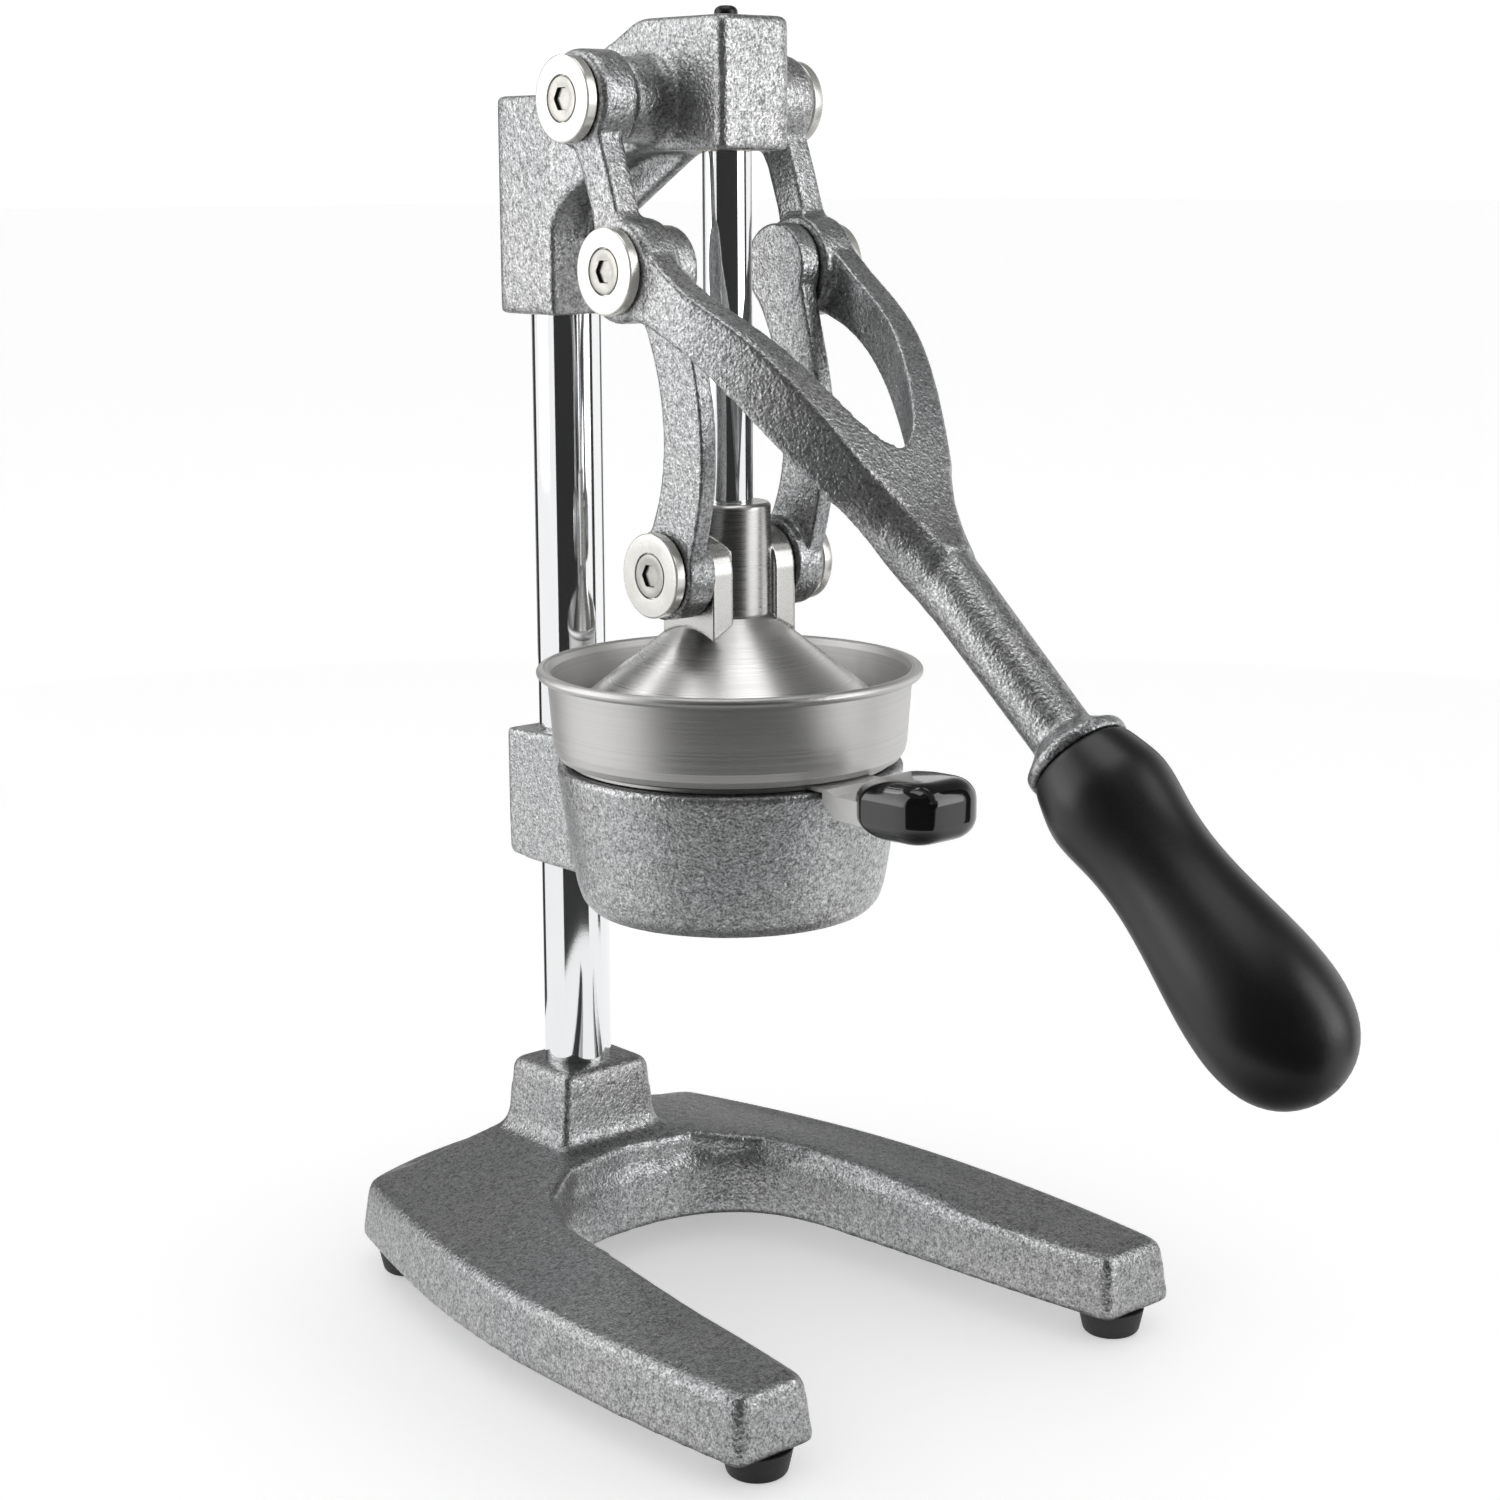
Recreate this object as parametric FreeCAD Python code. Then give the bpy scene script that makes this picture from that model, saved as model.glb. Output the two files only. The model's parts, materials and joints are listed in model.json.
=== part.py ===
import FreeCAD, Part
import math
import os

# Hand-lever citrus press. Millimetres, +Z up, front of the press towards -Y.
# Every sub-part is modelled around the ram axis (x = 0, y = 0, floor at z = 0) and is
# moved by RAM_Y on export, so that the origin is the middle of the footprint box.

V = FreeCAD.Vector
RAM_Y = 60.0            # ram axis, measured from the middle of the overall box

# --- heights above the floor -------------------------------------------------------
FOOT_H = 8.6            # underside of the base casting
BASE_TOP = 31.0
HUB_TOP = 66.6          # post socket on the base
RING_BOTTOM = 139.0     # bowl holder
RING_TOP = 187.0
BOWL_SEAT = 187.4       # underside of the funnel flange
CUP_SEAT = 188.6        # underside of the strainer cup
RIM_Z = 217.0           # centre of the rolled rim of the cup
COLLAR_TOP = 271.7
HEAD_BOTTOM = 382.0
HEAD_TOP = 423.2
BLOCK_BOTTOM = 328.6    # rear clamp block of the head
BLOCK_TOP = 400.8

# --- pivots of the toggle linkage (y, z) ------------------------------------------
PIV_A = (21.5, 397.8)   # lever on head
PIV_B = (2.2, 345.6)    # link on lever
PIV_C = (0.0, 250.5)    # link on ram
PIN_R = 5.0
RUN = 0.05              # radial running clearance of a pin in its bore
DISC_R = 13.5
DISC_T = 4.4

# --- round sections ---------------------------------------------------------------
POST_Y, POST_R = 84.9, 11.75
ROD_R = 7.75
COLLAR_R = 13.45
CUP_R = 59.3            # outside of the cup wall at the rim
RIM_TUBE = 1.7
WALL = 1.2              # sheet thickness of cup and funnel


def cyl(r, h, p, d):
    return Part.makeCylinder(r, h, V(*p), V(*d))


def box(x0, x1, y0, y1, z0, z1):
    return Part.makeBox(x1 - x0, y1 - y0, z1 - z0, V(x0, y0, z0))


def face(pts):
    return Part.Face(Part.makePolygon([V(*p) for p in pts] + [V(*pts[0])]))


def spline(pts):
    curve = Part.BSplineCurve()
    curve.interpolate([V(*p) for p in pts])
    return curve.toShape()


def line(a, b):
    return Part.makeLine(V(*a), V(*b))


def revolve(profile, centre=(0, 0)):
    """Full turn about a vertical axis of a closed (radius, height) profile."""
    pts = [(centre[0] + r, centre[1], z) for r, z in profile]
    return face(pts).revolve(V(centre[0], centre[1], 0), V(0, 0, 1), 360)


def side_plate(outline, x0, x1):
    """Plate with a closed (y, z) outline between two x planes."""
    return face([(x0, y, z) for y, z in outline]).extrude(V(x1 - x0, 0, 0))


def mirrored(shape):
    return shape.mirror(V(0, 0, 0), V(1, 0, 0))


def save(name, shape):
    out = shape.copy()
    out.translate(V(0, RAM_Y, 0))
    out.exportStep("parts/" + name + ".step")


def both_sides(name, shape):
    """The shape given is the right-hand one (+x)."""
    save(name + "_right", shape)
    save(name + "_left", mirrored(shape))


# --- base: U-shaped foot with a tapered square socket for the post ------------------
FEET = {"front_left": (-77.0, -101.0), "front_right": (77.0, -101.0),
        "rear_left": (-66.0, 96.0), "rear_right": (66.0, 96.0)}
FOOT_R = 11.0
HALF_ARCH = [(51.6, 0), (49.0, 19), (41.5, 36), (24.0, 49)]
ARCH_END = 53.0
CROWN_TOP = 40.0        # the top of the base swells up to the post socket
# post socket sections: height, half width, front and rear
SOCKET = [(CROWN_TOP - 3.0, 25.4, 61.2, 106.0), (CROWN_TOP + 1.0, 22.6, 64.4, 103.6),
          (CROWN_TOP + 5.0, 20.6, 66.0, 101.4), (HUB_TOP - 1.8, 18.6, 67.2, 100.2),
          (HUB_TOP, 16.8, 69.0, 98.6)]


def base_outline(z, inset):
    """Closed outline of the base at height z, drawn in by the given amount."""
    d = inset
    left_out = [(-94.0 + d, -112.5 + d, z), (-97.5 + d, -70, z), (-98.5 + d, -30, z),
                (-97.0 + d, 8, z), (-92.0 + d, 45, z), (-83.5 + d, 82, z),
                (-74.5 + d, 114.0 - d, z)]
    rear = [left_out[-1], (-38, 124.5 - d, z), (0, 128.0 - d, z), (38, 124.5 - d, z),
            (74.5 - d, 114.0 - d, z)]
    right_out = [(-x, y, zz) for x, y, zz in reversed(left_out)]
    right_in = [(63.3 + d, -112.5 + d, z), (60.3 + d, -88, z), (57.0 + d, -58, z),
                (54.4 + d, -28, z), (51.6 + d, 0, z)]
    grow = 1 + d / 52.0
    arch = [(x * grow, y * grow, z) for x, y in HALF_ARCH] + [(0, ARCH_END * grow, z)]
    arch[0] = right_in[-1]
    arch += [(-x, y, zz) for x, y, zz in arch[-2::-1]]
    left_in = [(-x, y, zz) for x, y, zz in reversed(right_in)]
    edges = [spline(left_out), spline(rear), spline(right_out), line(right_out[-1], right_in[0]),
             spline(right_in), spline(arch), spline(left_in), line(left_in[-1], left_out[0])]
    return Part.Wire(edges)


def base():
    steps = [(FOOT_H, 0.0), (BASE_TOP - 4.2, 1.9), (BASE_TOP - 1.2, 2.8), (BASE_TOP, 4.8)]
    sections = [base_outline(z, inset) for z, inset in steps]
    body = None
    for low, high in zip(sections, sections[1:]):
        slab = Part.makeLoft([low, high], True, True)
        body = slab if body is None else body.fuse(slab)
    # shallow crown rising to the socket, open over the arch
    low = [(-83, -62), (-87, 20), (-69, 109), (69, 109), (87, 20), (83, -62)]
    high = [(-25, 61), (-25, 70), (-25, 106), (25, 106), (25, 70), (25, 61)]
    crown = Part.makeLoft([ring_wire(low, BASE_TOP - 0.2), ring_wire(high, CROWN_TOP)], True, True)
    arch = HALF_ARCH + [(0, ARCH_END)] + [(-x, y) for x, y in reversed(HALF_ARCH)]
    arch = [(x * 1.092, y * 1.092) for x, y in arch]
    bay = face([(x, y, 20) for x, y in [(70, -120), (60, -40)] + arch + [(-60, -40), (-70, -120)]])
    body = body.fuse(crown.cut(bay.extrude(V(0, 0, 40))))
    # upright rectangular socket with a flared foot
    for (z0, h0, f0, r0), (z1, h1, f1, r1) in zip(SOCKET, SOCKET[1:]):
        lower = ring_wire([(-h0, f0), (h0, f0), (h0, r0), (-h0, r0)], z0)
        upper = ring_wire([(-h1, f1), (h1, f1), (h1, r1), (-h1, r1)], z1)
        body = body.fuse(Part.makeLoft([lower, upper], True, True))
    # hollow underside of the two legs, leaving bosses over the feet
    leg = [(-87, -104), (-90.0, -30), (-86, 40), (-63, 44), (-62, -20), (-70, -104)]
    pocket = face([(x, y, FOOT_H - 1) for x, y in leg]).extrude(V(0, 0, 17.0))
    pocket = pocket.cut(cyl(FOOT_R + 2, 30, (-77.0, -101.0, 0), (0, 0, 1)))
    body = body.cut(pocket).cut(mirrored(pocket))
    body = body.cut(cyl(POST_R, 80, (0, POST_Y, 20), (0, 0, 1)))
    body = body.cut(cyl(5.2, 30, (0, POST_Y, 0), (0, 0, 1)))
    body = body.cut(cyl(14.0, 5.4, (0, POST_Y, FOOT_H - 1), (0, 0, 1)))
    for x, y in FEET.values():
        body = body.cut(cyl(2.5, 14, (x, y, FOOT_H - 1), (0, 0, 1)))
    return body.removeSplitter()


def ring_wire(pts, z):
    return Part.makePolygon([V(x, y, z) for x, y in pts + pts[:1]])


def feet():
    for name, (x, y) in FEET.items():
        foot = revolve([(0, 0), (9.2, 0), (10.0, 0.8), (FOOT_R, FOOT_H), (0, FOOT_H)])
        foot = foot.cut(cyl(4.6, 3.4, (0, 0, -1), (0, 0, 1))).cut(cyl(2.5, 20, (0, 0, 0), (0, 0, 1)))
        foot.translate(V(x, y, 0))
        save("foot_" + name, foot)
        screw = cyl(4.4, 1.8, (x, y, 0.6), (0, 0, 1)).fuse(cyl(2.5, 19.0, (x, y, 0.6), (0, 0, 1)))
        screw = screw.cut(cyl(1.6, 1.1, (x, y, 0.5), (0, 0, 1)))
        save("foot_screw_" + name, screw)


# --- post and its bolt -----------------------------------------------------------
def post():
    bar = cyl(POST_R, 399.0 - 20.0, (0, POST_Y, 20.0), (0, 0, 1))
    return bar.cut(cyl(5.0, 22.0, (0, POST_Y, 20.0), (0, 0, 1)))


def post_bolt():
    head = Part.Face(Part.makePolygon([V(9.0 * math.cos(a), POST_Y + 9.0 * math.sin(a), FOOT_H - 1.8)
                                       for a in [math.radians(60 * k) for k in range(7)]]))
    head = head.extrude(V(0, 0, 4.8))
    return head.fuse(cyl(5.0, 28.0, (0, POST_Y, FOOT_H + 3.0), (0, 0, 1))).removeSplitter()


def post_washer():
    ring = cyl(13.0, 1.4, (0, POST_Y, FOOT_H + 3.0), (0, 0, 1))
    return ring.cut(cyl(5.0, 3.0, (0, POST_Y, FOOT_H + 2.0), (0, 0, 1)))


# --- head: clamp block on the post, arm, nose around the ram and pivot bosses -------
NOSE_HALF = 14.4
BLOCK_HALF = 17.4
HEAD_BOSS_END = 29.2
BUSH_R = 9.6


def head():
    back = POST_Y + 15.7
    front = POST_Y - 15.6
    under = [(0, front, BLOCK_BOTTOM), (0, front, 357), (0, 63.5, 365.2), (0, 52, 372.8),
             (0, 39, 379.2), (0, 24, HEAD_BOTTOM)]
    edges = [line(under[0], under[1]), spline(under[1:]), line(under[-1], (0, -14.6, HEAD_BOTTOM)),
             line((0, -14.6, HEAD_BOTTOM), (0, -14.6, HEAD_TOP)),
             line((0, -14.6, HEAD_TOP), (0, 26.5, HEAD_TOP)),
             line((0, 26.5, HEAD_TOP), (0, 71.0, BLOCK_TOP)),
             line((0, 71.0, BLOCK_TOP), (0, back, BLOCK_TOP)),
             line((0, back, BLOCK_TOP), (0, back, BLOCK_BOTTOM)),
             line((0, back, BLOCK_BOTTOM), under[0])]
    plate = Part.Face(Part.Wire(edges)).extrude(V(2 * BLOCK_HALF, 0, 0))
    plate.translate(V(-BLOCK_HALF, 0, 0))
    half_plan = [(0, -14.6), (NOSE_HALF - 2.6, -14.6), (NOSE_HALF - 0.7, -13.9),
                 (NOSE_HALF, -12.0), (NOSE_HALF, 34), (BLOCK_HALF, 66), (BLOCK_HALF, back - 3.0),
                 (BLOCK_HALF - 0.9, back - 0.9), (BLOCK_HALF - 3.0, back), (0, back)]
    plan = half_plan + [(-x, y) for x, y in reversed(half_plan[1:-1])]
    plan = face([(x, y, 300) for x, y in plan]).extrude(V(0, 0, 140))
    body = plate.common(plan).removeSplitter()
    rim = [e for e in body.Edges if e.BoundBox.ZMin > HEAD_TOP - 0.1]
    body = body.makeChamfer(1.4, rim)
    web = side_plate([(12, HEAD_BOTTOM + 1), (40, HEAD_BOTTOM + 1), (front + 1, 372),
                      (front + 1, 349.5)], -2.6, 2.6)
    body = body.fuse(web)
    for sign in (-1, 1):
        y, z = PIV_A
        body = body.fuse(Part.makeCone(15.6, DISC_R, 3.4, V(sign * (NOSE_HALF - 1), y, z), V(sign, 0, 0)))
        body = body.fuse(cyl(DISC_R, HEAD_BOSS_END - 10, (sign * 10, y, z), (sign, 0, 0)))
        body = body.cut(cyl(PIN_R, 30, (sign * 13, y, z), (sign, 0, 0)))
    body = body.cut(cyl(BUSH_R, 60, (0, 0, HEAD_BOTTOM - 5), (0, 0, 1)))
    body = body.cut(cyl(POST_R, 399.0 - 320, (0, POST_Y, 320), (0, 0, 1)))
    for z in (346.0, 382.0):
        body = body.cut(cyl(3.0, 12, (0, back + 1, z), (0, -1, 0)))
    return body.removeSplitter()


def head_bush():
    tube = cyl(BUSH_R, HEAD_TOP - HEAD_BOTTOM, (0, 0, HEAD_BOTTOM), (0, 0, 1))
    return tube.cut(cyl(ROD_R + RUN, 60, (0, 0, HEAD_BOTTOM - 5), (0, 0, 1)))


def set_screw(z, y_outer):
    """Hexagon-socket set screw through a rear wall, pressing on the post."""
    length = y_outer - (POST_Y + POST_R)
    screw = cyl(3.0, length, (0, y_outer, z), (0, -1, 0))
    return screw.cut(cyl(1.4, 2.2, (0, y_outer + 0.1, z), (0, -1, 0)))


# --- ram: rod, collar with two ears, bell -------------------------------------------
BELL_TOP = 235.4
BELL_SLOPE = 0.79       # fall of the bell per millimetre of radius
BELL_R = 52.0
EAR_IN, EAR_OUT = 9.0, 17.3


def bell_z(r):
    return BELL_TOP - BELL_SLOPE * (r - COLLAR_R)


def ram_rod():
    rod = cyl(ROD_R, 423.3 - 238.0, (0, 0, 238.0), (0, 0, 1))
    return rod.cut(cyl(2.5, 12, (0, 0, 423.3 - 12), (0, 0, 1)))


def rod_cap_screw():
    dome = revolve([(0, 423.3), (3.7, 423.3), (3.7, 424.6), (3.0, 425.8), (1.6, 426.4), (0, 426.5)])
    return dome.fuse(cyl(2.5, 12.0, (0, 0, 411.4), (0, 0, 1)))


def ram_collar():
    body = revolve([(0, BELL_TOP), (COLLAR_R, BELL_TOP), (COLLAR_R, COLLAR_TOP - 1.0),
                    (COLLAR_R - 1.0, COLLAR_TOP), (0, COLLAR_TOP)])
    y, z = PIV_C
    r = 12.6
    steps = [(r * math.cos(math.radians(a)), z + r * math.sin(math.radians(a)))
             for a in range(0, 181, 12)]
    ear = side_plate(steps + [(-r, 222), (r, 222)], EAR_IN, EAR_OUT)
    cone = revolve([(0, 200), (60, 200), (60, bell_z(60)), (BELL_R + 0.4, bell_z(BELL_R) - 0.3),
                    (COLLAR_R, BELL_TOP), (0, BELL_TOP)])
    ear = ear.cut(cone)
    body = body.fuse(ear).fuse(mirrored(ear))
    body = body.cut(cyl(ROD_R, 60, (0, 0, 238.0), (0, 0, 1)))
    body = body.cut(cyl(3.0, 10, (0, 0, 230.0), (0, 0, 1)))
    for sign in (-1, 1):
        body = body.cut(cyl(PIN_R, 10, (sign * 9.5, y, z), (sign, 0, 0)))
    return body.removeSplitter()


def press_bell():
    t = 2.0
    lip = bell_z(BELL_R)
    profile = [(0, BELL_TOP - t), (COLLAR_R - 0.6, BELL_TOP - t), (BELL_R - 1.2, lip - t * 1.27 + 0.9),
               (BELL_R - 1.2, lip - 4.4), (BELL_R + 0.4, lip - 4.4), (BELL_R + 0.4, lip - 0.3),
               (COLLAR_R, BELL_TOP), (0, BELL_TOP)]
    body = revolve(profile)
    return body.cut(cyl(3.0, 10, (0, 0, BELL_TOP - 5), (0, 0, 1)))


def bell_screw():
    head_ = revolve([(0, BELL_TOP - 4.2), (5.0, BELL_TOP - 4.2), (6.2, BELL_TOP - 3.2),
                     (6.2, BELL_TOP - 2.0), (0, BELL_TOP - 2.0)])
    return head_.fuse(cyl(3.0, 4.6, (0, 0, BELL_TOP - 2.0), (0, 0, 1)))


# --- lever: forked casting with straight stem, and its grip --------------------------
BOSS_IN, BOSS_OUT = 29.6, 43.6
STEM_TOP = (-84.0, 270.0)
FLANGE = (-154.0, 210.5)
GRIP_LEN = 118.0


def along_stem(distance):
    """Point (0, y, z) on the stem axis, measured from the flange towards the grip."""
    dy, dz = FLANGE[0] - STEM_TOP[0], FLANGE[1] - STEM_TOP[1]
    n = math.hypot(dy, dz)
    return (0, FLANGE[0] + dy / n * distance, FLANGE[1] + dz / n * distance)


def stem_dir():
    a, b = along_stem(0), along_stem(1)
    return (0, b[1] - a[1], b[2] - a[2])


def lever_fork():
    top = [(0, 2.2, 359.0), (0, -8, 354.6), (0, -20, 345.4), (0, -34, 336.6), (0, -50, 326.6),
           (0, -66, 311.6), (0, -78, 297.0), (0, -90, 281.0), (0, -104, 267.2)]
    bottom = [(0, -98, 244.0), (0, -84, 262.4), (0, -75, 277.0), (0, -62, 291.6), (0, -50, 303.6),
              (0, -36, 315.8), (0, -16, 327.6), (0, 2.2, 332.0)]
    edges = [spline(top), line(top[-1], bottom[0]), spline(bottom), line(bottom[-1], top[0])]
    plate = Part.Face(Part.Wire(edges)).extrude(V(88, 0, 0))
    plate.translate(V(-44, 0, 0))
    half_out = [(BOSS_OUT - 0.4, 20), (BOSS_OUT - 0.4, -10), (42.0, -28), (38.0, -43), (33.0, -56),
                (27.0, -68), (20.5, -79), (14.5, -89), (11.0, -98), (10.0, -108)]
    half_in = [(33.2, 20), (33.2, -10), (31.6, -27), (27.6, -42), (22.0, -55), (15.2, -67),
               (8.0, -75.5), (0, -79.0)]
    outer = [spline([(x, y, 220) for x, y in half_out]), line((10, -108, 220), (-10, -108, 220)),
             spline([(-x, y, 220) for x, y in reversed(half_out)]),
             line((-BOSS_OUT + 0.4, 20, 220), (BOSS_OUT - 0.4, 20, 220))]
    gap = [spline([(x, y, 220) for x, y in half_in] + [(-x, y, 220) for x, y in half_in[-2::-1]]),
           line((-33.2, 20, 220), (33.2, 20, 220))]
    plan = Part.Face(Part.Wire(outer)).extrude(V(0, 0, 160))
    plan = plan.cut(Part.Face(Part.Wire(gap)).extrude(V(0, 0, 160)))
    d = stem_dir()
    # the fork's root is turned down to the round stem
    root = [(-30.0, 10.4), (-19.0, 10.9), (-10.0, 12.6), (0.0, 15.6), (10.0, 20.5), (22.0, 30.0),
            (34.0, 60.0), (140.0, 90.0), (140.0, 0.0), (-30.0, 0.0)]
    root = face([(r, 0, s) for s, r in root]).revolve(V(0, 0, 0), V(0, 0, 1), 360)
    back = FreeCAD.Vector(-d[0], -d[1], -d[2])
    root.Placement = FreeCAD.Placement(V(0, *STEM_TOP), FreeCAD.Rotation(V(0, 0, 1), back))
    body = plate.common(plan).common(root)
    # straight stem, flange against the grip and tang inside it
    length = math.hypot(FLANGE[0] - STEM_TOP[0], FLANGE[1] - STEM_TOP[1])
    body = body.fuse(Part.makeCone(10.6, 9.6, length, V(*along_stem(-length)), V(*d)))
    body = body.fuse(Part.makeCone(9.7, 15.2, 5.0, V(*along_stem(-9.0)), V(*d)))
    body = body.fuse(cyl(16.2, 4.0, along_stem(-4.0), d))
    body = body.fuse(cyl(7.0, 88.0, along_stem(-4.0), d))
    # bosses at both pivots and the short arms that join them
    for sign in (-1, 1):
        for (y, z), r in ((PIV_A, 15.4), (PIV_B, 16.2)):
            body = body.fuse(cyl(r, BOSS_OUT - BOSS_IN - 1.4, (sign * BOSS_IN, y, z), (sign, 0, 0)))
            edge = Part.makeCone(r, r - 1.4, 1.4, V(sign * (BOSS_OUT - 1.4), y, z), V(sign, 0, 0))
            body = body.fuse(edge)
        arm = side_plate([(28.6, 392.0), (19.5, 377.0), (14.5, 363.5), (11.5, 349.0), (-8.0, 350.0),
                          (1.6, 363.5), (6.2, 377.0), (12.0, 392.0)], 33.2, BOSS_OUT - 0.4)
        body = body.fuse(arm if sign > 0 else mirrored(arm))
    for sign in (-1, 1):
        body = body.cut(cyl(PIN_R + RUN, 30, (sign * 25, PIV_A[0], PIV_A[1]), (sign, 0, 0)))
        body = body.cut(cyl(PIN_R, 30, (sign * 25, PIV_B[0], PIV_B[1]), (sign, 0, 0)))
    return body.removeSplitter()


def lever_grip():
    profile = [(0.0, 15.4), (2.0, 16.4), (8.0, 18.3), (15.0, 19.3), (22.0, 18.7), (30.0, 17.4),
               (40.0, 16.9), (50.0, 17.4), (60.0, 18.6), (69.0, 20.0), (79.0, 21.5), (88.0, 22.1),
               (97.0, 21.6), (105.0, 19.4), (111.0, 15.8), (115.5, 10.8), (117.4, 5.8)]
    curve = spline([(r, 0, s) for s, r in profile] + [(0, 0, GRIP_LEN)])
    edges = [line((0, 0, 0), (profile[0][1], 0, 0)), curve, line((0, 0, GRIP_LEN), (0, 0, 0))]
    body = Part.Face(Part.Wire(edges)).revolve(V(0, 0, 0), V(0, 0, 1), 360)
    body = body.cut(cyl(7.0, 84.0, (0, 0, 0), (0, 0, 1)))
    body.Placement = FreeCAD.Placement(V(*along_stem(0)), FreeCAD.Rotation(V(0, 0, 1), V(*stem_dir())))
    return body


# --- links and pivots -----------------------------------------------------------------
LINK_IN, LINK_OUT = 21.7, 28.3


def link():
    """Right-hand bowed link; its lower boss reaches inwards to the ear of the ram."""
    front = [(0, -10.6, 340.0), (0, -15.2, 322.0), (0, -18.8, 307.0), (0, -20.3, 292.0),
             (0, -19.4, 276.0), (0, -16.2, 262.0), (0, -12.0, 247.5)]
    back = [(0, 12.2, 251.0), (0, 6.4, 262.0), (0, 1.3, 274.0), (0, -1.2, 288.0), (0, -0.6, 303.0),
            (0, 3.4, 319.0), (0, 12.6, 337.0)]
    edges = [spline(front), line(front[-1], back[0]), spline(back), line(back[-1], front[0])]
    body = Part.Face(Part.Wire(edges)).extrude(V(LINK_OUT - LINK_IN, 0, 0))
    body.translate(V(LINK_IN, 0, 0))
    yb, zb = PIV_B
    yc, zc = PIV_C
    body = body.fuse(cyl(13.8, 8.0, (21.4, yb, zb), (1, 0, 0)))
    body = body.fuse(cyl(14.6, LINK_OUT - 17.6, (17.6, yc, zc), (1, 0, 0)))
    body = body.cut(cyl(PIN_R + RUN, 20, (22.8, yb, zb), (1, 0, 0)))
    body = body.cut(cyl(PIN_R + RUN, 20, (15, yc, zc), (1, 0, 0)))
    return body.removeSplitter()


def pivot(tag, at, pin_from, disc_from):
    """Shoulder pin, cover disc and countersunk screw of one right-hand pivot."""
    y, z = at
    x = (1, 0, 0)
    pin = cyl(PIN_R, disc_from - pin_from, (pin_from, y, z), x)
    disc = cyl(DISC_R, DISC_T, (disc_from, y, z), x)
    disc = disc.makeFillet(0.5, [e for e in disc.Edges if e.BoundBox.XLength < 0.01])
    out = disc_from + DISC_T
    screw = Part.makeCone(3.4, 7.1, 3.6, V(out - 4.0, y, z), V(*x))
    screw = screw.fuse(cyl(7.1, 0.4, (out - 0.4, y, z), x))
    screw = screw.fuse(cyl(2.5, 10.0, (out - 12.4, y, z), x)).removeSplitter()
    disc = disc.cut(screw)
    pin = pin.cut(screw)
    hexagon = [(y + 3.8 * math.cos(math.radians(a)), z + 3.8 * math.sin(math.radians(a)))
               for a in range(0, 360, 60)]
    screw = screw.cut(side_plate(hexagon, out - 2.2, out + 1))
    both_sides("pin_" + tag, pin)
    both_sides("disc_" + tag, disc)
    both_sides("screw_" + tag, screw)


# --- bowl holder: tapered ring with an arm and clamp on the post ----------------------
def bowl_holder():
    body = revolve([(0, RING_TOP), (55.6, RING_TOP), (56.6, RING_TOP - 1.2), (52.2, 158.0),
                    (50.6, 148.0), (48.8, 142.4), (45.6, RING_BOTTOM), (0, RING_BOTTOM)])
    back = POST_Y + 17.0
    arm = [(-16.0, 40), (-17.8, 66), (-17.8, back - 3), (-14.8, back), (14.8, back),
           (17.8, back - 3), (17.8, 66), (16.0, 40)]
    block = face([(x, y, RING_BOTTOM + 1) for x, y in arm]).extrude(V(0, 0, RING_TOP - RING_BOTTOM + 1))
    tail = side_plate([(30, RING_BOTTOM + 1), (88, RING_BOTTOM + 1), (back - 4.0, 140.8),
                       (back - 2.6, 142.6), (back, RING_TOP - 3.6), (back - 1.8, RING_TOP - 1.8),
                       (70, RING_TOP - 0.4), (30, RING_TOP - 0.4)], -20, 20)
    block = block.common(tail)
    for sign in (-1, 1):
        # hollow fillets between arm and ring
        low = [(10, 30), (33, 30), (27, 42.5), (21, 52), (17, 66), (10, 66)]
        high = [(10, 30), (42, 36), (32, 47), (24, 56), (17.6, 70), (10, 70)]
        web = Part.makeLoft([ring_wire([(sign * x, y) for x, y in low], 143.0),
                             ring_wire([(sign * x, y) for x, y in high], RING_TOP - 1.0)], True, True)
        block = block.fuse(web)
    body = body.fuse(block)
    bore = revolve([(0, 120), (44.0, 120), (44.0, 142), (47.6, 160), (50.6, 190), (50.6, 200), (0, 200)])
    body = body.cut(bore)
    body = body.cut(cyl(POST_R, 90, (0, POST_Y, 120), (0, 0, 1)))
    body = body.cut(cyl(3.0, 12, (0, back + 1, 163.0), (0, -1, 0)))
    return body.removeSplitter()


# --- lift-out funnel with side handle, and strainer cup -------------------------------
SPOUT_R = 13.0
SPOUT_END = 133.0


def funnel():
    """Flange and upper wall; the flange hangs on the ring and carries the strainer."""
    return revolve([(52.6, BOWL_SEAT), (49.8, BOWL_SEAT), (48.6, BOWL_SEAT - 1.4), (43.4, 163.0),
                    (42.4, 164.0), (47.4, CUP_SEAT - 1.6), (48.8, CUP_SEAT), (52.6, CUP_SEAT)])


def funnel_floor():
    return revolve([(43.4, 163.0), (SPOUT_R, 147.0), (SPOUT_R - WALL, 147.8), (42.4, 164.0)])


def funnel_spout():
    return revolve([(SPOUT_R, 147.0), (SPOUT_R, SPOUT_END), (SPOUT_R - WALL, SPOUT_END),
                    (SPOUT_R - WALL, 147.8)])


def funnel_handle_bar():
    """Cranked strap: leaves the flange over the ring, drops outside it, runs into the grip."""
    outline = [(-48.0, CUP_SEAT), (-60.0, CUP_SEAT), (-64.5, 187.2), (-96.0, 187.2),
               (-96.0, 180.0), (-64.5, 179.8), (-58.4, 184.0), (-58.4, BOWL_SEAT), (-48.0, BOWL_SEAT)]
    bar = side_plate(outline, -12.6, 12.6)
    return bar.cut(cyl(52.6, 20, (0, 0, 180), (0, 0, 1)))


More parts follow.
